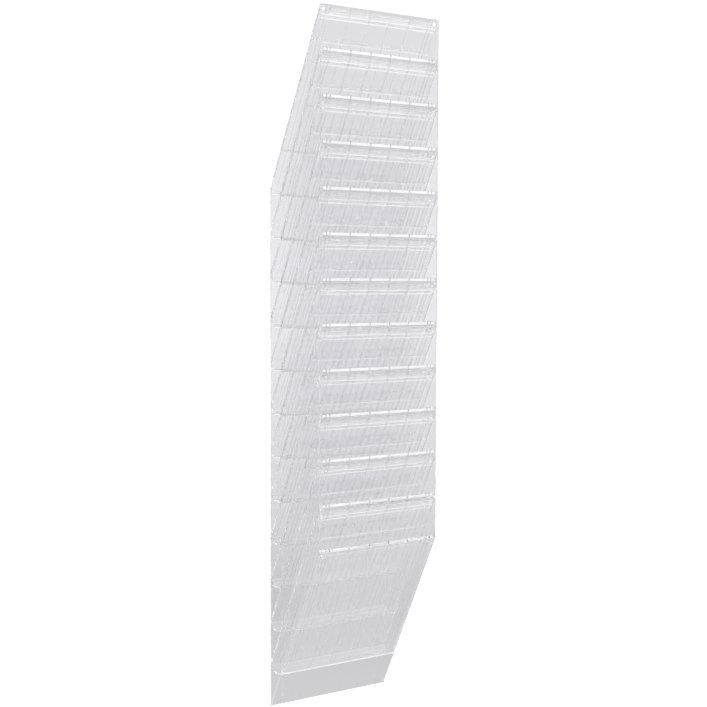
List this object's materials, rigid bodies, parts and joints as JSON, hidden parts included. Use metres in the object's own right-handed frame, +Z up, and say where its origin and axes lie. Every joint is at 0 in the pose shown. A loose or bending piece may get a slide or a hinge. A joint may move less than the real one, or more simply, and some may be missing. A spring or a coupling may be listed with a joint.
{
  "type": "magazine rack",
  "caption": "Wall-hung cascade rack of clear plastic boxes that snap together, each an upright slanting pocket for A4 magazines.",
  "frame": {"origin": "on the wall plane, on the centre line, half-way up the back plate of the lowest box", "axes": "+X to the right seen from the front, +Y into the wall, +Z up; the pockets open towards -Y"},
  "size_m": [0.24, 0.14, 1.1396],
  "materials": {
    "clear_plastic": "clear gloss"
  },
  "bodies": {
    "root": {"box_01": "clear_plastic", "box_02": "clear_plastic", "box_03": "clear_plastic", "box_04": "clear_plastic", "box_05": "clear_plastic", "box_06": "clear_plastic", "box_07": "clear_plastic", "box_08": "clear_plastic", "box_09": "clear_plastic", "box_10": "clear_plastic", "box_11": "clear_plastic", "box_12": "clear_plastic"}
  },
  "joints": []
}
